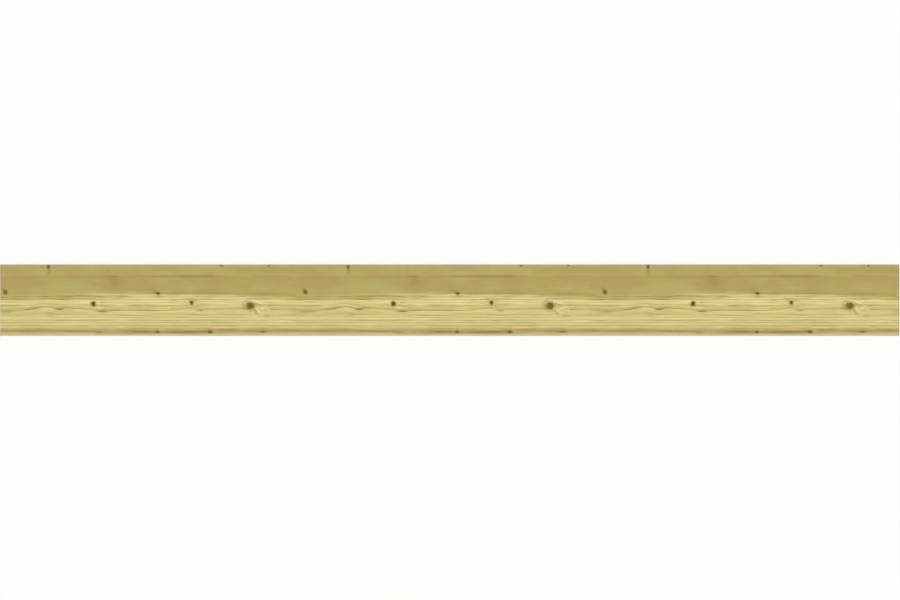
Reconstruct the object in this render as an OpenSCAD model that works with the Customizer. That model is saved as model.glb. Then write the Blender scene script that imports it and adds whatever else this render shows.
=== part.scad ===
// Dressed softwood plank: one length of sawn and planed timber, lying flat on a wide face.
// The origin is under the middle of the plank, on the surface that it lies on.
// X runs along the grain, Y across the wide face and Z up through the thickness.

/* [Plank] */
// Length along the grain, between the two docked ends
plank_length = 2400; // [900:300:6000]
// Width of the two wide faces, from edge to edge
plank_width = 190; // [70:5:290]
// Thickness between the two wide faces
plank_thickness = 45; // [19:1:75]

/* [Edges] */
// Radius that the planer leaves along the four long arrises
arris_radius = 3; // [1:0.5:8]

/* [Hidden] */

// Sides of a full circle at the arrises
arc_steps = 64;
// Middle of each rounded arris, measured from the middle of the section
arris_across = plank_width / 2 - arris_radius;
arris_up = plank_thickness / 2 - arris_radius;
// Pale straw green of pressure-treated sapwood
treated_pine = [0.80, 0.74, 0.50];

// One quarter round that planes a sharp corner back to the arris radius
module corner_waste() {
    difference() {
        square(arris_radius);
        circle(arris_radius, $fn = arc_steps);
    }
}

// Cross section of the plank: wide and low, with every corner eased
module dressed_section() {
    difference() {
        square([plank_width, plank_thickness], center = true);
        for (across = [0, 1], up = [0, 1])
            mirror([across, 0])
                mirror([0, up])
                    translate([arris_across, arris_up])
                        corner_waste();
    }
}

// The section run along the grain and docked square at both ends
module plank() {
    color(treated_pine)
        translate([0, 0, plank_thickness / 2])
            rotate([90, 0, 90])
                linear_extrude(plank_length, center = true)
                    dressed_section();
}

plank();
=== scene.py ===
import math
from dataclasses import dataclass

import bpy
import numpy as np
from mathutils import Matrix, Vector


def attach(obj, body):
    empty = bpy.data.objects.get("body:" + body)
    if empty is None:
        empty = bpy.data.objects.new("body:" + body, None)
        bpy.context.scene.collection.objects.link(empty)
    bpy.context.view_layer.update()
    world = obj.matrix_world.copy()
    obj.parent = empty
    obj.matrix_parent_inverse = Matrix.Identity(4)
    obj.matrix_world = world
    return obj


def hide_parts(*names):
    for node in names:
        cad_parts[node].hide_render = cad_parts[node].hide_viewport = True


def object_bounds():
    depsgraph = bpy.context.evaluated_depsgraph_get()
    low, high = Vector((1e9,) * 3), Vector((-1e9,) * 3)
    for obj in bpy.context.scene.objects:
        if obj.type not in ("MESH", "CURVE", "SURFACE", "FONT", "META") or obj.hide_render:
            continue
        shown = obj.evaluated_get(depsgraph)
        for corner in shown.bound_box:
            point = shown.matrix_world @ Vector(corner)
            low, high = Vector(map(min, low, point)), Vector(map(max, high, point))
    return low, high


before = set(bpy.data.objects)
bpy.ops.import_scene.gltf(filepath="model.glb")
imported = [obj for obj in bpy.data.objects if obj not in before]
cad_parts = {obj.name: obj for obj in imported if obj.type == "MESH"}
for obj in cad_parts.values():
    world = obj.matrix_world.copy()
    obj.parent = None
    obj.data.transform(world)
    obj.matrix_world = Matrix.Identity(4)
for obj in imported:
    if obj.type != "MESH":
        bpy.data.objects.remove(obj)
cad_low, cad_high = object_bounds()


# The log that the plank was sawn from: a fast-grown pine, its pith under the back half of the plank and
# its bark just outside the front top arris. Its growth rings and branches show wherever a face cuts them,
# so the plank's relief and its finish are both read from this one log.

# In millimetres: along counts from the left end, and across and up from the middle of the underside
length, width, thickness = (1000 * side for side in cad_high - cad_low)
pith_across, pith_up = 36.0, -40.0

# Outer radius of each year's growth, and how dark and how thick its late wood is
years = (
    (30, 0.0, 1.0), (42, 0.35, 1.2), (53, 0.40, 1.2), (63, 0.40, 1.2), (72, 0.35, 1.2), (80, 0.35, 1.2),
    (89.3, 0.12, 0.8), (92.2, 0.52, 1.1), (95.9, 0.62, 1.2), (100.2, 0.38, 0.9), (105.7, 0.50, 1.6),
    (113.8, 0.55, 3.2), (124.1, 0.42, 1.7), (128.3, 0.34, 1.3), (134.7, 0.58, 1.4), (139.4, 0.50, 1.4),
    (147.1, 0.45, 1.6), (154, 0.20, 1.5), (164, 0.20, 1.5),
)
year_radii = [radius for radius, darkness, thick in years]

# The log comes three times along the plank. One repeat is read from a little ahead of the left end, so
# that its seam lies clear of every knot.
repeat = length / 3
lead = 45.0

# Slow sway of the rings along the log: turns in one repeat, size, radius in which it shifts by a radian,
# and start
sways = (
    (2, 0.12, 35, 2.1), (3, 0.14, 17, 4.0), (5, 0.12, 9, 1.2), (9, 0.12, 5, 5.0), (14, 0.08, 3.5, 2.7),
)


@dataclass
class Branch:
    """A branch or a healed-over bud, which runs straight out from the pith through one point of a face.

    knot is its radius at that point, and stretch how much longer than wide it is there. swell lifts the
    rings that cross it and push parts them to either side, within its reach along and round the log.
    """

    along: float
    across: float
    up: float = thickness
    knot: float = 0.0
    stretch: float = 1.0
    swell: float = 0.0
    push: float = 0.0
    reach: tuple = (20.0, 9.0)


branches = (
    # Knots in the bright sapwood
    Branch(667.0, -24.6, knot=8.5, stretch=1.30, push=3.6, reach=(19, 13)),
    Branch(249.5, -18.5, knot=6.2, stretch=1.0, push=1.8, reach=(13, 9)),
    Branch(511.5, -16.0, knot=4.7, stretch=1.0, push=1.5, reach=(12, 8)),
    # Knots in the heartwood, the last three on the back top arris
    Branch(14.5, 14.5, knot=5.6, stretch=0.95),
    Branch(421.5, 10.5, knot=3.8, stretch=1.35),
    Branch(129.0, 88.5, knot=5.2, stretch=0.75),
    Branch(590.5, 91.5, knot=2.6, stretch=1.5),
    Branch(717, 91.0, knot=2.0, stretch=1.5),
    # Spike knots in the front edge, cut through along their length
    Branch(420, -95, 32, knot=7.6, stretch=0.58),
    Branch(561, -95, 32, knot=8.2, stretch=0.65),
    # Buds that healed over, where the rings rise and dip in waves
    Branch(176, -33, swell=3.8, reach=(90, 13)),
    Branch(118, -31, swell=4.4, reach=(28, 13)),
    Branch(156, -37, swell=-2.9, reach=(16, 8)),
    Branch(271, -41, swell=-2.8, reach=(21, 9)),
    Branch(585, -35, swell=3.0, reach=(90, 13)),
    Branch(742, -35, swell=2.6, reach=(42, 13)),
    Branch(507, -34, swell=2.3, reach=(24, 10)),
    Branch(534, -37, swell=-2.2, reach=(11, 8)),
    Branch(12, -42, swell=-1.5, reach=(25, 10)),
    Branch(686, -33, swell=4.5, reach=(21, 11)),
)


class Wire:
    """A socket in the node tree that is being drawn. Sums on it add Math nodes to that tree."""

    tree = None

    def __init__(self, socket):
        self.socket = socket

    @classmethod
    def node(cls, kind, settings=(), sockets=(), out=0):
        made = cls.tree.nodes.new(kind)
        for name, value in dict(settings).items():
            if name == "stops":
                ramp = made.color_ramp
                while len(ramp.elements) < len(value):
                    ramp.elements.new(1.0)
                for element, (place, tone) in zip(ramp.elements, value):
                    element.position = place
                    element.color = tone
            elif name == "interpolation":
                made.color_ramp.interpolation = value
            else:
                setattr(made, name, value)
        for name, value in dict(sockets).items():
            if isinstance(value, Wire):
                cls.tree.links.new(value.socket, made.inputs[name])
            else:
                made.inputs[name].default_value = value
        return cls(made.outputs[out])

    @classmethod
    def sum(cls, operation, *terms):
        return cls.node("ShaderNodeMath", {"operation": operation}, enumerate(terms))

    def output(self, name):
        return Wire(self.socket.node.outputs[name])

    def __add__(self, other):
        return Wire.sum("ADD", self, other)

    def __sub__(self, other):
        return Wire.sum("SUBTRACT", self, other)

    def __rsub__(self, other):
        return Wire.sum("SUBTRACT", other, self)

    def __mul__(self, other):
        return Wire.sum("MULTIPLY", self, other)

    def __truediv__(self, other):
        return Wire.sum("DIVIDE", self, other)

    def __rtruediv__(self, other):
        return Wire.sum("DIVIDE", other, self)

    def __pow__(self, other):
        return Wire.sum("POWER", self, other)

    def __rpow__(self, other):
        return Wire.sum("POWER", other, self)

    def __mod__(self, other):
        return Wire.sum("FLOORED_MODULO", self, other)

    def __abs__(self):
        return Wire.sum("ABSOLUTE", self)

    __radd__ = __add__
    __rmul__ = __mul__


def sine(angle):
    return Wire.sum("SINE", angle) if isinstance(angle, Wire) else np.sin(angle)


def lesser(one, other):
    return Wire.sum("MINIMUM", one, other) if isinstance(one, Wire) else np.minimum(one, other)


def ramped(value, low, high):
    """0 at low, 1 at high, with a smooth rise between."""
    if isinstance(value, Wire):
        limits = {"Value": value, "From Min": low, "From Max": high}
        return Wire.node("ShaderNodeMapRange", {"interpolation_type": "SMOOTHSTEP"}, limits)
    share = np.clip((value - low) / (high - low), 0, 1)
    return share * share * (3 - 2 * share)


def bell(one, other=0.0):
    """1 where both offsets are 0, and next to nothing where either is past 2."""
    return (1 / math.e) ** (one * one + other * other)


def in_repeat(along):
    """Place within one repeat of the log."""
    return (along + lead) % repeat - lead


def comings(middle, reach):
    """Places where something that comes again at every repeat reaches into one repeat."""
    starts = (middle - repeat, middle, middle + repeat)
    return [start for start in starts if -reach < start + lead < repeat + reach]


def growth(here, across, up):
    """Radius of the ring through a point, and the distance to the nearest knot in that knot's radii."""
    out, rise = across - pith_across, up - pith_up
    radius = (out * out + rise * rise) ** 0.5
    out, rise = out / radius, rise / radius
    ring = radius
    for turns, size, shift, start in sways:
        ring = ring + size * sine(here * (2 * math.pi * turns / repeat) + radius / shift + start)
    knot = None
    for branch in branches:
        aim_out, aim_rise = branch.across - pith_across, branch.up - pith_up
        reached = math.hypot(aim_out, aim_rise)
        far, near = branch.reach
        for start in comings(branch.along, 2 * far):
            lengthwise = (here - start) * (reached / radius)
            round_about = out * aim_rise - rise * aim_out
            if branch.swell or branch.push:
                side = round_about / near
                lift = branch.swell + branch.push * side if branch.push else branch.swell
                ring = ring + lift * bell(lengthwise / far, side)
            if branch.knot:
                long_part = lengthwise / (branch.knot * branch.stretch)
                round_part = round_about / branch.knot
                apart = (long_part * long_part + round_part * round_part) ** 0.5
                knot = apart if knot is None else lesser(knot, apart)
    return ring, knot


# The plank: one length sawn out of that log, planed on four sides with eased arrises, and docked square.
# Drying has drawn the soft early wood a little below the late wood and dished the knots. The saw has left
# its sweep on the ends, where fine checks have opened along the rays.

# Radius of the eased arrises, and the steps of the mesh round the section and along the plank
arris = 3.0
arris_steps = 3
wide_steps = 126
edge_steps = 26
stations = 268

# Depths of early wood, knots and bruised arrises below the planed faces. The bruises come in two waves
# along the arrises, in millimetres a radian.
ring_relief = 0.16
knot_dish = 0.5
arris_wear = 0.35
long_bruise, short_bruise = 31.0, 11.3
# How far the rings' relief keeps from a knot, and where the knot's dish starts and is full, in its radii
knot_clear, knot_hollow = (0.9, 1.6), (1.05, 0.4)
# The saw's sweep on the ends: depth, pitch and the middle of its arcs
saw_relief = 0.18
saw_pitch = 7.0
saw_across, saw_up = -140.0, 260.0
# End checks: depth, width and how they run out, then each one's bearing from the pith and its two radii
check_depth = 1.6
check_width = 0.9
check_start, check_full = 4.0, 8.0
end_checks = ((-0.62, 98, 150), (-0.30, 74, 104), (0.02, 52, 74), (0.36, 66, 88), (-0.95, 128, 166))


def planed_side(start, end, outward, steps):
    """Points and outward directions along one side of the section, from mid arris to mid arris."""
    start, end, outward = (np.array(place, float) for place in (start, end, outward))
    run = (end - start) / np.linalg.norm(end - start)
    bends = np.linspace(0, math.pi / 4, arris_steps + 1)
    facing = [outward * math.cos(bend) - run * math.sin(bend) for bend in bends[:0:-1]]
    facing += [outward] * (steps + 1)
    facing += [outward * math.cos(bend) + run * math.sin(bend) for bend in bends[1:]]
    flat = [start + (end - start) * share for share in np.linspace(0, 1, steps + 1)]
    middles = [start] * arris_steps + flat + [end] * arris_steps
    facing = np.array(facing)
    return np.array(middles) + arris * facing, facing


back, front = width / 2 - arris, -(width / 2 - arris)
low, high = arris, thickness - arris
bottom_side, bottom_facing = planed_side((front, low), (back, low), (0, -1), wide_steps)
top_side, top_facing = planed_side((front, high), (back, high), (0, 1), wide_steps)
front_side, front_facing = planed_side((front, low), (front, high), (-1, 0), edge_steps)
back_side, back_facing = planed_side((back, low), (back, high), (1, 0), edge_steps)
across_count, up_count = len(bottom_side) - 1, len(front_side) - 1


def round_section(bottom, top, front, back):
    """The four sides as one loop: along the bottom to the back, up, along the top to the front and down."""
    return np.concatenate([bottom[:-1], back[:-1], top[:0:-1], front[:0:-1]])


section = round_section(bottom_side, top_side, front_side, back_side)
facing = round_section(bottom_facing, top_facing, front_facing, back_facing)
loop_count = len(section)

# Stations crowd at the knots and the docked ends, where the surface changes soonest
end_crowding, end_stretch = 5.0, 6.0
knot_crowding, knot_margin = 1.5, 4.0
ruler = np.linspace(0, length, 2 * round(length) + 1)
crowding = 1 + end_crowding * np.exp(-np.minimum(ruler, length - ruler) / end_stretch)
for branch in branches:
    if branch.knot:
        half_length = knot_margin + branch.knot * branch.stretch
        crowding += knot_crowding * bell((in_repeat(ruler) - branch.along) / half_length)
crowding = np.cumsum(crowding)
spread = (crowding - crowding[0]) / (crowding[-1] - crowding[0])
station_along = np.interp(np.linspace(0, 1, stations + 1), spread, ruler)


def year_share(ring):
    """How far through its year the wood grew, from 0 to 1."""
    return np.interp(ring, year_radii, range(len(years))) % 1


def sunk(along, across, up):
    """How far drying has drawn a planed face below its full size."""
    ring, knot = growth(in_repeat(along), across, up)
    darkness = np.interp(ring, year_radii, [dark for radius, dark, thick in years])
    valley = 0.5 - 0.5 * np.cos(2 * math.pi * year_share(ring))
    drawn = ring_relief * darkness * valley * ramped(knot, *knot_clear)
    return drawn + knot_dish * ramped(knot, *knot_hollow)


def sawn(across, up):
    """How far the saw and the end checks lie behind the full length of the plank."""
    out, rise = across - pith_across, up - pith_up
    radius, bearing = np.hypot(out, rise), np.arctan2(out, rise)
    sweep = np.hypot(across - saw_across, up - saw_up)
    behind = saw_relief * (0.5 + 0.5 * np.sin(2 * math.pi * sweep / saw_pitch))
    for angle, inner, outer in end_checks:
        opened = ramped(radius, inner - check_start, inner + check_full)
        opened = opened * ramped(radius, outer + check_start, outer - check_full)
        behind = behind + check_depth * opened * bell((bearing - angle) * radius / check_width)
    return behind


# The long faces, sunk inwards from the full section. corner is 1 in mid arris and 0 on the flats.
skin_along, skin_across = np.meshgrid(station_along, section[:, 0], indexing="ij")
skin_up = np.broadcast_to(section[:, 1], skin_along.shape)
corner = 4 * np.abs(facing[:, 0] * facing[:, 1]) ** 2
bruises = 0.5 + 0.3 * np.sin(skin_along / long_bruise + skin_across)
bruises = bruises + 0.2 * np.sin(skin_along / short_bruise + skin_up)
sinking = (sunk(skin_along, skin_across, skin_up) + arris_wear * corner * bruises)[..., None] * facing
skin = np.dstack([skin_along, np.dstack([skin_across, skin_up]) - sinking])

# Each end is a grid stretched between the four sides, and shares its rim with the long faces
share_across = np.linspace(0, 1, across_count + 1)[:, None, None]
share_up = np.linspace(0, 1, up_count + 1)[None, :, None]
end_grid = (
    (1 - share_up) * bottom_side[:, None]
    + share_up * top_side[:, None]
    + (1 - share_across) * front_side[None]
    + share_across * back_side[None]
    - (1 - share_across) * (1 - share_up) * bottom_side[0]
    - share_across * (1 - share_up) * bottom_side[-1]
    - (1 - share_across) * share_up * top_side[0]
    - share_across * share_up * top_side[-1]
)
inner = end_grid[1:-1, 1:-1]
end_depth = sawn(inner[..., 0], inner[..., 1])

points = [skin.reshape(-1, 3)]
grids = []
for end_along, station, inward in ((0.0, 0, 1), (length, stations, -1)):
    first = sum(len(part) for part in points)
    points.append(np.dstack([end_along + inward * end_depth, inner]).reshape(-1, 3))
    grid = np.zeros((across_count + 1, up_count + 1), int)
    rim = station * loop_count
    loop = rim + np.arange(loop_count + 1) % loop_count
    grid[:, 0] = loop[: across_count + 1]
    grid[-1, :] = loop[across_count : across_count + up_count + 1]
    grid[::-1, -1] = loop[across_count + up_count : 2 * across_count + up_count + 1]
    grid[0, ::-1] = loop[2 * across_count + up_count :]
    grid[1:-1, 1:-1] = first + np.arange(end_depth.size).reshape(end_depth.shape)
    grids.append(grid)

row = np.arange(stations)[:, None] * loop_count
at = np.arange(loop_count)[None, :]
beyond = (at + 1) % loop_count
faces = [np.stack([row + at, row + beyond, row + loop_count + beyond, row + loop_count + at], -1)]
left, right = grids
faces.append(np.stack([left[:-1, :-1], left[:-1, 1:], left[1:, 1:], left[1:, :-1]], -1))
faces.append(np.stack([right[:-1, :-1], right[1:, :-1], right[1:, 1:], right[:-1, 1:]], -1))

points = np.concatenate(points)
points[:, 0] -= length / 2
plank_mesh = bpy.data.meshes.new("plank_timber")
face_corners = np.concatenate([part.reshape(-1, 4) for part in faces])
plank_mesh.from_pydata((points / 1000).tolist(), [], face_corners.tolist())
plank_mesh.polygons.foreach_set("use_smooth", np.ones(len(plank_mesh.polygons), bool))
edge_pairs = np.array([edge.vertices[:] for edge in plank_mesh.edges])
last_rim = stations * loop_count
on_rim = (edge_pairs < loop_count).all(1)
on_rim |= ((edge_pairs >= last_rim) & (edge_pairs < last_rim + loop_count)).all(1)
sharp = plank_mesh.attributes.new("sharp_edge", "BOOLEAN", "EDGE")
sharp.data.foreach_set("value", on_rim)

# The faces laid out flat on one square, as the closing export looks for them: two half lengths unrolled,
# one above the other, and the two ends below. The top and the front edge get more room than the rest.
sheet_gap = 0.004
ends_room = 0.05
main_room = 2
half_room = (1 - ends_room) / 2


def laid(shares, start, room):
    """Places on the square for shares of one rectangle of it, with a gap left all round."""
    return np.array(start) + sheet_gap + shares * (np.array(room) - 2 * sheet_gap)


room_round = np.linalg.norm(np.roll(section, -1, axis=0) - section, axis=1)
room_round *= np.where(facing[:, 1] > facing[:, 0], main_room, 1)
share_round = 1 - np.append(0, np.cumsum(room_round)) / room_round.sum()
flat_places = []
for half, start in enumerate((0, stations // 2)):
    run = station_along[start : start + stations // 2 + 1]
    shares = np.stack(np.meshgrid((run - run[0]) / (run[-1] - run[0]), share_round, indexing="ij"), -1)
    spread_out = laid(shares, (0, ends_room + half * half_room), (1, half_room))
    corners = [spread_out[:-1, :-1], spread_out[:-1, 1:], spread_out[1:, 1:], spread_out[1:, :-1]]
    flat_places.append(np.stack(corners, -2).reshape(-1, 2))
for end, (end_faces, outward) in enumerate(zip(faces[1:], (-1, 1))):
    shares = points[end_faces][..., 1:] / (outward * width, thickness) + (0.5, 0)
    flat_places.append(laid(shares, (end / 2, 0), (0.5, ends_room)).reshape(-1, 2))
flat_layer = plank_mesh.uv_layers.new(name="OFBake")
flat_layer.uv.foreach_set("vector", np.concatenate(flat_places).astype(np.float32).ravel())
plank_mesh.update()
plank = bpy.data.objects.new("plank_timber", plank_mesh)
bpy.context.scene.collection.objects.link(plank)

# Finish of the plank: bare planed pine, tinted a greenish straw by the preservative that was pressed into
# it. The heartwood took less and stays khaki, the last rings under the bark are stained brown, and the
# knots are dark with resin.

heart_khaki = (0.440, 0.344, 0.120, 1)
heart_yellow = (0.475, 0.400, 0.135, 1)
# Colour of the early wood outwards from the heart, by radius
sapwood = (
    (88, (0.72, 0.62, 0.258, 1)), (97, (0.79, 0.69, 0.300, 1)), (108, (0.70, 0.60, 0.248, 1)),
    (116, (0.72, 0.615, 0.252, 1)), (130, (0.76, 0.655, 0.275, 1)), (142, (0.71, 0.60, 0.245, 1)),
    (150, (0.69, 0.565, 0.222, 1)),
)
edge_sapwood = (0.665, 0.622, 0.328, 1)
late_shade = (0.50, 0.450, 0.23, 1)
mark_shade = (0.42, 0.36, 0.15, 1)
cream_streak = (0.86, 0.77, 0.38, 1)
bark_brown = (0.468, 0.328, 0.090, 1)
stain_shade = (0.90, 0.85, 0.80, 1)
knot_heart = (0.108, 0.083, 0.003, 1)
knot_wood = (0.160, 0.122, 0.010, 1)
spike_knot = (0.190, 0.115, 0.006, 1)
knot_halo = (0.66, 0.60, 0.44, 1)
arris_grey = (0.47, 0.42, 0.25, 1)
# Painted light: the pale tone laid low on the front edge, standing in for light thrown up from the white
# floor
floor_bounce_pale = (0.82, 0.79, 0.54, 1)
end_grey = (0.46, 0.40, 0.24, 1)

# Stretches where a year's late wood is darker or fainter, by the year's radius: middle, half length, depth
dark_stretches = {
    89.3: ((560, 80, 0.25), (703, 30, 0.55), (750, 30, 0.35)),
    92.2: (
        (85, 46, 0.70), (168, 36, 0.60), (262, 18, 0.35), (352, 32, 0.30), (423, 18, 0.25), (461, 14, 0.35),
        (523, 11, 0.25), (715, 34, 0.25),
    ),
    95.9: (
        (25, 36, 0.75), (171, 33, 0.70), (221, 20, 0.25), (416, 16, 0.20), (461, 13, 0.45), (500, 16, 0.55),
        (531, 18, 0.65), (594, 48, 0.35),
    ),
    100.2: ((29, 30, 0.20), (457, 10, 0.35), (534, 12, 0.25)),
    105.7: ((45, 34, 0.15), (205, 36, -0.25), (412, 87, 0.30), (594, 48, 0.25), (722, 26, 0.30)),
    113.8: (
        (20, 22, 0.60), (84, 36, 0.60), (158, 10, 0.45), (205, 34, -0.10), (272, 14, 0.90), (375, 85, 0.40),
        (450, 36, 0.35), (534, 9, 0.50), (594, 48, 0.20), (730, 18, 0.40),
    ),
    124.1: ((360, 36, 0.30), (592, 50, 0.30)),
    134.7: ((85, 75, 0.25), (212, 20, 0.30), (575, 85, 0.70)),
    139.4: ((41, 34, 0.20), (408, 45, 0.25), (594, 48, 0.20)),
    147.1: ((475, 16, 0.35), (571, 27, 0.40)),
}
stretch_width, stretch_inset = 2.2, 0.8

# Dark marks on the top face: middle along and across, half length, half width, slant in degrees, depth
dark_marks = (
    # The ring that grazes the top face shows as one long line in the heartwood
    (302, 60.0, 18, 2.0, 0, 0.42), (424, 60.2, 46, 2.0, 0, 0.46), (512, 60.6, 52, 2.0, 0, 0.60),
    (560, 60.4, 24, 2.4, 0, 0.22), (85, 57.5, 60, 2.6, 0, 0.16), (225, 57.5, 55, 3.4, 0, 0.16),
    (280, 56, 35, 4.5, 0, 0.12),
    # Bark in the healed buds, and fibres that trail past the small knots
    (161, -36.5, 12, 3.0, 0, 0.55), (275, -40.0, 12, 3.6, 3, 0.62), (534, -38, 9, 3.0, 0, 0.25),
    (272, -15.0, 7, 2.0, 8, 0.50), (503, -9.0, 9, 2.2, -38, 0.45),
    # Late wood that is thicker along the wavy ring and beside the knots
    (24, -43.4, 38, 2.4, 8, 0.34), (95, -34.2, 28, 2.4, 7, 0.28), (284, -27.3, 24, 2.0, 0, 0.34),
    (519, -9.8, 13, 2.0, 0, 0.58), (317, -4.0, 17, 2.4, 0, 0.46), (184, -10.6, 16, 2.6, 0, 0.32),
    (30, -13.2, 40, 2.4, 0, 0.30), (711, -4.0, 16, 2.4, 0, 0.22), (182, -35.5, 14, 2.2, 0, 0.25),
    (231, -29.9, 12, 2.0, 0, 0.22), (463, -9.8, 12, 1.9, 0, 0.25), (703, -38.6, 8, 2.4, 0, 0.25),
    (682, -6.9, 8, 2.0, 0, 0.22),
    # Fibres torn aside at the large knot
    (683, -43, 9, 2.6, -58, 0.60), (685, -19.2, 9, 2.0, -25, 0.50), (713, -53.8, 13, 2.8, 0, 0.60),
    (657, -10.5, 7, 2.4, 40, 0.48), (649, -24, 5, 8.0, 0, 0.34), (726, -35, 9, 2.8, 0, 0.32),
    (720, -23.5, 7, 1.8, 0, 0.30), (699, -24.2, 6, 1.6, 0, 0.35),
    # Trails of the heartwood knots
    (10, 21, 7, 5.0, -60, 0.45), (414, 16, 9, 5.0, -40, 0.35), (130, 78, 11, 4.5, 90, 0.46),
    # Faint dark streaks and patches
    (494, 34, 30, 2.4, 0, 0.12), (522, 19, 26, 2.4, 0, 0.12), (136, -51, 24, 5.5, 0, 0.24),
    (288, 79, 12, 1.8, 90, 0.14), (5, -47, 75, 9, 0, 0.21), (155, -49, 80, 8, 0, 0.18),
    (712, 8.9, 34, 2.3, 0, 0.24), (790, 6.0, 30, 2.0, 0, 0.10), (293, 4, 22, 7, 0, 0.17),
    (93, -32, 14, 4, 0, 0.15), (133, 61, 26, 8, 0, 0.10),
)
# Pale streaks on the top face, in the same order
pale_marks = (
    (689, -14, 14, 3.2, -20, 0.75), (705, -30, 11, 3.0, 0, 0.60), (687, -36.5, 8, 3.0, -48, 0.60),
    (699, -47, 6, 4.0, 0, 0.35), (691, -64.5, 5, 2.0, 0, 0.45), (600, -18, 45, 9, 0, 0.30),
    (236, -12, 16, 3.4, 0, 0.45), (264, -29, 8, 3.0, -20, 0.45), (640, -11, 14, 3.0, 0, 0.30),
    (483, 68, 90, 2.4, 0, 0.10), (735, 66.5, 48, 3.0, 0, 0.10), (752, -57.5, 26, 2.2, 0, 0.50),
    (752, -69.5, 26, 1.8, 0, 0.40), (724, -9.5, 40, 2.4, 0, 0.30), (365, -17.5, 38, 4.5, 0, 0.35),
    (354, 13.2, 18, 2.6, 0, 0.20), (444, 16.1, 16, 2.6, 0, 0.15), (756, 1.7, 14, 2.2, 0, 0.15),
    (148, -27, 10, 2.4, 0, 0.25), (225, -1.1, 16, 2.2, 0, 0.20),
)
# Where the grain swirls beside the large knot, with how far in millimetres, and where it shows no lines
swirls = ((702, -38, 22, 13, 0, 14.0),)
plain_patches = ((673, -58, 26, 20, 0, 0.85), (130, -51, 135, 10, 0, 0.81))
# Faint brown stains over the heartwood, in the same order
stains = ((304, 42, 17, 19, 0, 1.0), (640, 36, 50, 22, 0, 0.6))
# Dark stretches of the brown front arris: middle along and below the arris, then as above
arris_marks = (
    (64, 6, 34, 6, 0, 0.45), (115, -1, 22, 4, 0, 0.25), (166, 4, 26, 5, 0, 0.36),
    (188, 16, 14, 5, 0, 0.22), (216, 6, 36, 6, 0, 0.50), (264, 18.5, 15, 6, 0, 1.00),
    (301, 17, 20, 6, 0, 0.15), (383, 11, 36, 7, 0, 0.72), (390, -3, 60, 4, 0, 0.20),
    (457, 0, 18, 4, 0, 0.30), (466, 18, 24, 8, 0, 0.45), (480, 27, 48, 8, 0, 0.38),
    (511, 13, 36, 8, 0, 0.70), (550, 5, 14, 6, 0, 0.35), (606, 1, 36, 5, 0, 0.42),
    (663, 9.7, 12, 5, 0, 0.30), (690, 15, 14, 5, 0, 0.50), (700, 1, 60, 5, 0, 0.30),
    (703, 13, 9, 8, 0, 0.95), (770, 2, 30, 5, 0, 0.35),
)
# Stretches where that brown is thin, in the same order
thin_brown = ((293, 12, 26, 40, 0, 0.35), (575, 11, 9, 9, 0, 0.50))

wood = bpy.data.materials.new("planed_pine")
wood.use_nodes = True
Wire.tree = wood.node_tree
shader = wood.node_tree.nodes["Principled BSDF"]


def mixed(share, under, over, way="MIX"):
    settings = {"data_type": "RGBA", "blend_type": way}
    return Wire.node("ShaderNodeMix", settings, {0: share, 6: under, 7: over}, out=2)


def lit(colour, light):
    return mixed(1.0, colour, light, "MULTIPLY")


def greater(one, other):
    return Wire.sum("MAXIMUM", one, other)


def clouds(place, detail, roughness=0.5):
    sockets = {"Vector": place, "Scale": 1.0, "Detail": detail, "Roughness": roughness}
    return Wire.node("ShaderNodeTexNoise", {"noise_dimensions": "3D"}, sockets)


def vector(x, y, z=0.0):
    return Wire.node("ShaderNodeCombineXYZ", (), {0: x, 1: y, 2: z})


def vector_sum(operation, one, other, out="Vector"):
    return Wire.node("ShaderNodeVectorMath", {"operation": operation}, {0: one, 1: other}, out)


def dotted(one, other):
    return vector_sum("DOT_PRODUCT", one, other, "Value")


def streaked(rows, place):
    """Depth of the soft strokes that rows list, each laid on its own slanted axes."""
    total = 0.0
    for middle, side, half_length, half_width, slant, depth in rows:
        lie, rise = math.cos(math.radians(slant)), math.sin(math.radians(slant))
        for start in comings(middle, 2 * half_length):
            off = vector_sum("SUBTRACT", place, (start, side, 0))
            if slant:
                off = vector(dotted(off, (lie, rise, 0)), dotted(off, (-rise, lie, 0)))
            off = vector_sum("DIVIDE", off, (half_length, half_width, 1))
            total = total + depth * (1 / math.e) ** dotted(off, off)
    return total


spot = Wire.node("ShaderNodeSeparateXYZ", (), {0: Wire.node("ShaderNodeTexCoord", out="Object")})
along = spot * 1000 + length / 2
across = spot.output(1) * 1000
up = spot.output(2) * 1000
here = in_repeat(along)
top_place = vector(here, across)
ring, knot = growth(here, across, up)

# Marks of the top face fade out with depth, and what belongs to the front edge fades out behind it.
# Sapwood shows only in front of a stretch across the plank over which it gives way to heartwood.
mark_depth, edge_fade = 17.0, 2.5
sap_back, sap_front = 60.0, 40.0
upper = ramped(up, thickness - mark_depth, thickness - arris)
front_half = ramped(across, sap_back, sap_front)
on_edge = ramped(across, edge_fade - width / 2, -width / 2)

turn = along * (2 * math.pi / repeat)
turn_x, turn_y = sine(turn + math.pi / 2), sine(turn)


def circling(spread, depth, detail):
    """Tones read off a circle that is turned once in each repeat, so that the pattern closes on itself."""
    return clouds(vector(turn_x * spread, turn_y * spread, depth), detail)


# The grain swirls beside the large knot, and shows no lines in front of it and of the healed buds
swirl_length, swirl_width = 13.0, 8.0
swirl = clouds(vector(here / swirl_length, across / swirl_width, up / swirl_width), 1.0) - 0.5
ring = ring + swirl * streaked(swirls, top_place) * upper
lined = 1 - streaked(plain_patches, top_place) * upper

# A year's wood darkens slowly, then quickly towards its outer edge, and stops there sharply. The ramp
# holds each year's width and the thickness of its late wood as shares of these largest ones.
widest, thickest = 20.0, 4.0
worn_width = 5
last_year = len(years) - 1


def grown_share(radius):
    """Place on the ramps for a radius: 0 at the first year's edge and 1 at the last one's."""
    return (radius - year_radii[0]) / (year_radii[-1] - year_radii[0])


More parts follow.
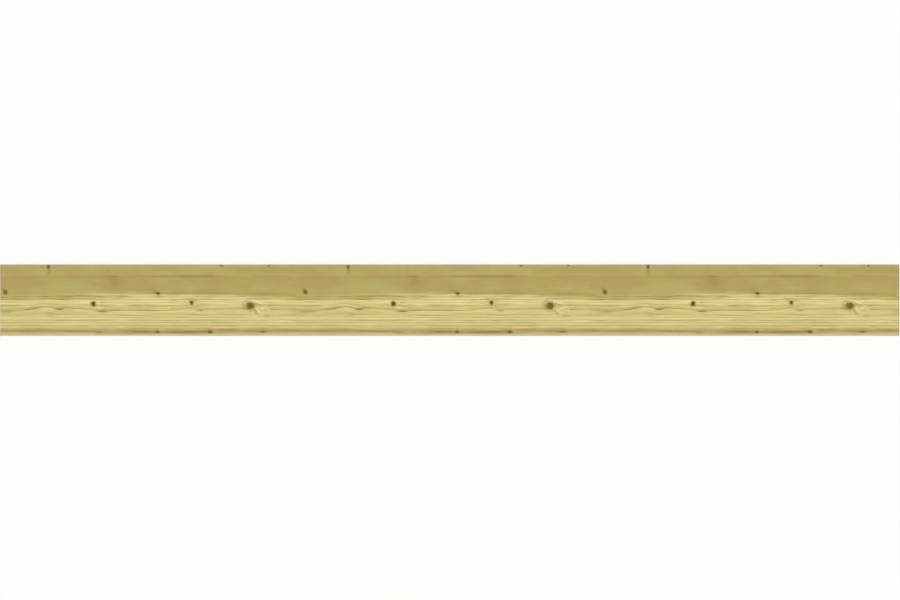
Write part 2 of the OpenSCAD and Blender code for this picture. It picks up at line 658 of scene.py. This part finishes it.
inside = grown_share(ring)
count_stops = [
    (grown_share(radius), (count / last_year,) * 3 + (1,)) for count, radius in enumerate(year_radii)
]
year = Wire.node("ShaderNodeValToRGB", {"stops": count_stops}, {"Fac": inside}) * last_year
year_stops = [
    (grown_share(start), (darkness, (radius - start) / widest, thick / thickest, 1))
    for start, (radius, darkness, thick) in zip(year_radii, years[1:])
]
stepped = {"stops": year_stops, "interpolation": "CONSTANT"}
of_year = Wire.node("ShaderNodeValToRGB", stepped, {"Fac": inside})
of_year = Wire.node("ShaderNodeSeparateColor", (), {0: of_year})
darkness, year_width, late_width = of_year, of_year.output(1) * widest, of_year.output(2) * thickest
grown = year % 1
worn = circling(2.2, ring / worn_width, 1.0)
late = (1 / math.e) ** ((1 - grown) * year_width / (late_width * (0.6 + worn * 0.8)))
stretches = [
    (middle, radius - stretch_inset, half_length, stretch_width, 0, depth)
    for radius, rows in dark_stretches.items()
    for middle, half_length, depth in rows
]
strength = darkness * (0.25 + ramped(worn, 0.3, 0.7) * 1.4) + streaked(stretches, vector(here, ring))
# The rings show well in the sapwood and on the docked ends, and only faintly on the heartwood's top face
end_fade, end_full = 5.0, 0.5
from_end = length / 2 - abs(along - length / 2)
end_wood = ramped(from_end, end_fade, end_full)
shown = 0.12 + (1 - upper) * 0.60
shown = greater(shown, greater(front_half, end_wood))
line = late * strength * shown * lined
slow_shade = grown * 0.14

# The heartwood's edge follows one ring in the middle of each repeat, and another at its ends. The sapwood
# starts at a smaller radius over the early stretch and at a larger one over the late stretch.
heart_edge, heart_fade = 89.4, 0.8
second_edge = (95.6, 96.2)
early_middle, early_half, early_shift = 240, 130, 3.0
late_rise, late_fall, late_shift = (630, 680), (-2, -16), 1.4
bright_rise = (160, 370)
early_sap = bell((here - early_middle) / early_half)
late_sap = greater(ramped(here, *late_rise), ramped(here, *late_fall))
bright_stretch = greater(ramped(here, *bright_rise) * (1 - late_sap * 0.6), late_sap * 0.4)
sap_edge = heart_edge - early_sap * early_shift + late_sap * late_shift
first_sap = ramped(ring, sap_edge, heart_edge + heart_fade + late_sap * late_shift)
first_sap = first_sap * (0.26 + bright_stretch * 0.74)
full_sap = ramped(ring, *second_edge)
sapness = greater(first_sap, full_sap) * front_half

# The heartwood is a little lighter behind the ring that grazes the top face, and towards its front edge
heart_line, heart_front, tint_width = 60.0, 10.0, 45.0
light_middle, light_half = 370, 110
tint = circling(1.2, across / tint_width, 2.0)
heart = mixed(ramped(tint, 0.35, 0.68), heart_khaki, heart_yellow)
heart_light = 0.98 + ramped(across, heart_line, heart_front) * 0.05
heart_light = heart_light + ramped(across, heart_line - 1.5, heart_line + 1.5) * 0.05
lit_stretch = bell((here - light_middle) / light_half)
heart_light = heart_light + lit_stretch * ramped(across, heart_line + 2, heart_line + 10) * 0.03
heart = lit(heart, heart_light)
sap_stops = [(grown_share(radius), tone) for radius, tone in sapwood]
sap = Wire.node("ShaderNodeValToRGB", {"stops": sap_stops}, {"Fac": inside})
sap = mixed(on_edge * 0.75, sap, edge_sapwood)
colour = mixed(sapness, heart, sap)
colour = lit(colour, 1 - slow_shade * sapness)
colour = mixed(line, colour, late_shade, "MULTIPLY")

# Marks and streaks on the top face
colour = mixed(streaked(pale_marks, top_place) * upper, colour, cream_streak)
colour = mixed(streaked(dark_marks, top_place) * upper, colour, mark_shade, "MULTIPLY")

# Brown of the last rings under the bark, along the front top arris and lower down in mid repeat
brown_reach, deeper_reach, brown_fade = 16, 9, 8
deeper_rise, deeper_fall = (270, 345), (610, 560)
brown_start, last_start = (132, 141), (142, 150)
below_arris = thickness - up - across - width / 2
arris_place = vector(here, below_arris)
brown_depth = brown_reach + ramped(here, *deeper_rise) * ramped(here, *deeper_fall) * deeper_reach
browned = ramped(below_arris, -brown_fade, 0.5)
browned = browned * ramped(below_arris - brown_depth, brown_fade, -brown_fade)
browned = browned * (1 - streaked(thin_brown, arris_place))
colour = mixed(browned * ramped(ring, *brown_start) * 0.78, colour, bark_brown)
last_rings = ramped(ring, *last_start)
colour = mixed(streaked(arris_marks, arris_place) * last_rings, colour, mark_shade, "MULTIPLY")
colour = mixed(streaked(stains, top_place), colour, stain_shade, "MULTIPLY")

# Fibres, finer grain between the rings, and short resin dashes. The way round the pith is measured at one
# radius, so that fibres are about as wide on every face.
round_radius = 100
fibre_length, fibre_width = 45, 1.1
grain_width, bright_width = 1.6, 0.9
resin_length, resin_width = 9, 0.5
bearing = Wire.sum("ARCTAN2", across - pith_across, up - pith_up) * round_radius
fibre = clouds(vector(along / fibre_length, ring / fibre_width, bearing / fibre_width), 3.0, 0.6)
grain = circling(1.4, ring / grain_width, 1.0)
colour = lit(colour, 0.93 + fibre * 0.14)
colour = mixed(sapness * lined, colour, 0.89 + ramped(grain, 0.3, 0.7) * 0.18, "MULTIPLY")
bright = ramped(circling(2.6, ring / bright_width + 40, 0.0), 0.58, 0.74)
colour = mixed(bright * sapness * (1 - on_edge) * 0.35, colour, cream_streak)
resin = clouds(vector(along / resin_length, ring / resin_width, bearing / resin_width), 0.0)
resin = ramped(resin, 0.70, 0.80)
colour = mixed(resin * 0.25, colour, late_shade, "MULTIPLY")

# Knots: dark at the heart and browner outwards, with fine rings of their own and a resin stain round them.
# The large knot is lighter than the others, and most so on its left side.
wobble_size = 5
halo_radii, core_radii = (2.0, 0.9), (1.34, 0.62)
large_knot, large_half = branches[0].along, 18
bleached_side, bleached_half = -13, 9
wobble = clouds(vector(along / wobble_size, across / wobble_size, up / wobble_size), 2.0) - 0.5
edge_of_knot = knot + wobble * 1.1
halo = ramped(edge_of_knot, *halo_radii)
colour = mixed(halo * 0.6, colour, knot_halo, "MULTIPLY")
core = ramped(edge_of_knot, *core_radii)
of_knot = mixed(ramped(knot, 0.1, 1.0), knot_heart, knot_wood)
of_knot = mixed(on_edge, of_knot, spike_knot)
weathered = 0.9 + bell((here - large_knot) / large_half) * 0.28
of_knot = lit(of_knot, weathered + sine(knot * 18) * 0.1)
bleached = bell((here - large_knot - bleached_side) / bleached_half) * 0.30
colour = mixed(core * (0.76 + sapness * 0.22) * (1 - bleached), colour, of_knot)

# Grey on the back top arris and on the open fibre of the docked ends, and painted bounce light low on the
# front edge
grey_reach, floor_bounce_height = 7.0, 11.0
far_arris = ramped(across, width / 2 - grey_reach, width / 2)
far_arris = far_arris * ramped(up, thickness - grey_reach, thickness)
colour = mixed(far_arris * 0.5, colour, arris_grey)
# Painted light: the front edge is made paler towards its bottom arris, as if lit by the white floor below
colour = mixed(ramped(up, floor_bounce_height, arris) * on_edge * 0.8, colour, floor_bounce_pale)
colour = mixed(end_wood * 0.35, colour, end_grey)

roughness = 0.68 - line * 0.12 - core * 0.10 + (fibre - 0.5) * 0.16
height = (fibre - 0.5) * 0.10 + late * darkness * 0.08 - resin * 0.05
bump = Wire.node("ShaderNodeBump", (), {"Strength": 0.5, "Distance": 0.001, "Height": height})

for name, wire in (("Base Color", colour), ("Roughness", roughness), ("Normal", bump)):
    Wire.tree.links.new(wire.socket, shader.inputs[name])
shader.inputs["Specular IOR Level"].default_value = 0.12
plank_mesh.materials.append(wood)
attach(plank, "root")
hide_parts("plank")


# The studio: a plain white floor that reaches past every view and keeps a faint contact shadow, an even
# white surround, and one broad lamp high at the front left.

floor_reach = 15.0
floor_drop = 0.0002
floor_white = (0.95, 0.95, 0.95, 1)
floor_glow = 0.85
surround = 0.62
lamp_strength = 1.26
lamp_height, lamp_side = 68.0, -25.0
lamp_spread = 35.0


def seen_rays():
    """1 for the rays that show the surround, seen straight or by way of gloss or glass."""
    rays = Wire.node("ShaderNodeLightPath")
    by_way = rays.output("Is Glossy Ray") + rays.output("Is Transmission Ray")
    return lesser(rays.output("Is Camera Ray") + by_way, 1.0)


floor_mesh = bpy.data.meshes.new("floor")
floor_sides = ((-1, -1), (1, -1), (1, 1), (-1, 1))
floor_corners = [(side * floor_reach, away * floor_reach, -floor_drop) for side, away in floor_sides]
floor_mesh.from_pydata(floor_corners, [], [(0, 1, 2, 3)])
floor = bpy.data.objects.new("floor", floor_mesh)
bpy.context.scene.collection.objects.link(floor)
paint = bpy.data.materials.new("floor_white")
paint.use_nodes = True
Wire.tree = paint.node_tree
Wire.tree.nodes.clear()
matte = Wire.node("ShaderNodeBsdfDiffuse", (), {"Color": floor_white})
glow = Wire.node("ShaderNodeEmission", (), {"Color": (1, 1, 1, 1), "Strength": 1.0})
both = Wire.node("ShaderNodeMixShader", (), {0: seen_rays() * floor_glow, 1: matte, 2: glow})
surface = Wire.tree.nodes.new("ShaderNodeOutputMaterial")
Wire.tree.links.new(both.socket, surface.inputs["Surface"])
floor_mesh.materials.append(paint)

world = bpy.data.worlds.new("surround")
world.use_nodes = True
bpy.context.scene.world = world
Wire.tree = world.node_tree
sky = Wire.tree.nodes["Background"]
sky.inputs["Color"].default_value = (1, 1, 1, 1)
sky_strength = surround + seen_rays() * (1 - surround)
Wire.tree.links.new(sky_strength.socket, sky.inputs["Strength"])

lamp = bpy.data.objects.new("lamp", bpy.data.lights.new("lamp", "SUN"))
lamp.data.energy = lamp_strength
lamp.data.angle = math.radians(lamp_spread)
lamp.rotation_euler = (math.radians(90 - lamp_height), 0, math.radians(lamp_side))
bpy.context.scene.collection.objects.link(lamp)

# The camera stands square to the front edge and looks down on the wide face, from so far away that
# nothing narrows with distance. The plank's outline in the photograph sets its scale and its aim.

view_height = math.radians(68)
picture_width, picture_height = 900, 600
plank_left, plank_right = 0.0, 899.45
plank_top, plank_bottom = 264.44, 336.1
camera_distance = 6.0

metres_a_pixel = length / 1000 / (plank_right - plank_left)
top_reach = back * math.sin(view_height) + high * math.cos(view_height) + arris
bottom_reach = front * math.sin(view_height) + low * math.cos(view_height) - arris
aim_side = (picture_width - plank_left - plank_right) / 2 * metres_a_pixel
aim_rise = (top_reach + bottom_reach) / 2000
aim_rise += ((plank_top + plank_bottom) - picture_height) / 2 * metres_a_pixel
camera = bpy.data.objects.new("camera", bpy.data.cameras.new("camera"))
camera.data.type = "ORTHO"
camera.data.ortho_scale = picture_width * metres_a_pixel
camera.rotation_euler = (math.pi / 2 - view_height, 0, 0)
camera.location = (
    aim_side,
    aim_rise * math.sin(view_height) - camera_distance * math.cos(view_height),
    aim_rise * math.cos(view_height) + camera_distance * math.sin(view_height),
)
bpy.context.scene.collection.objects.link(camera)
bpy.context.scene.camera = camera
bpy.context.scene.view_settings.view_transform = "Standard"
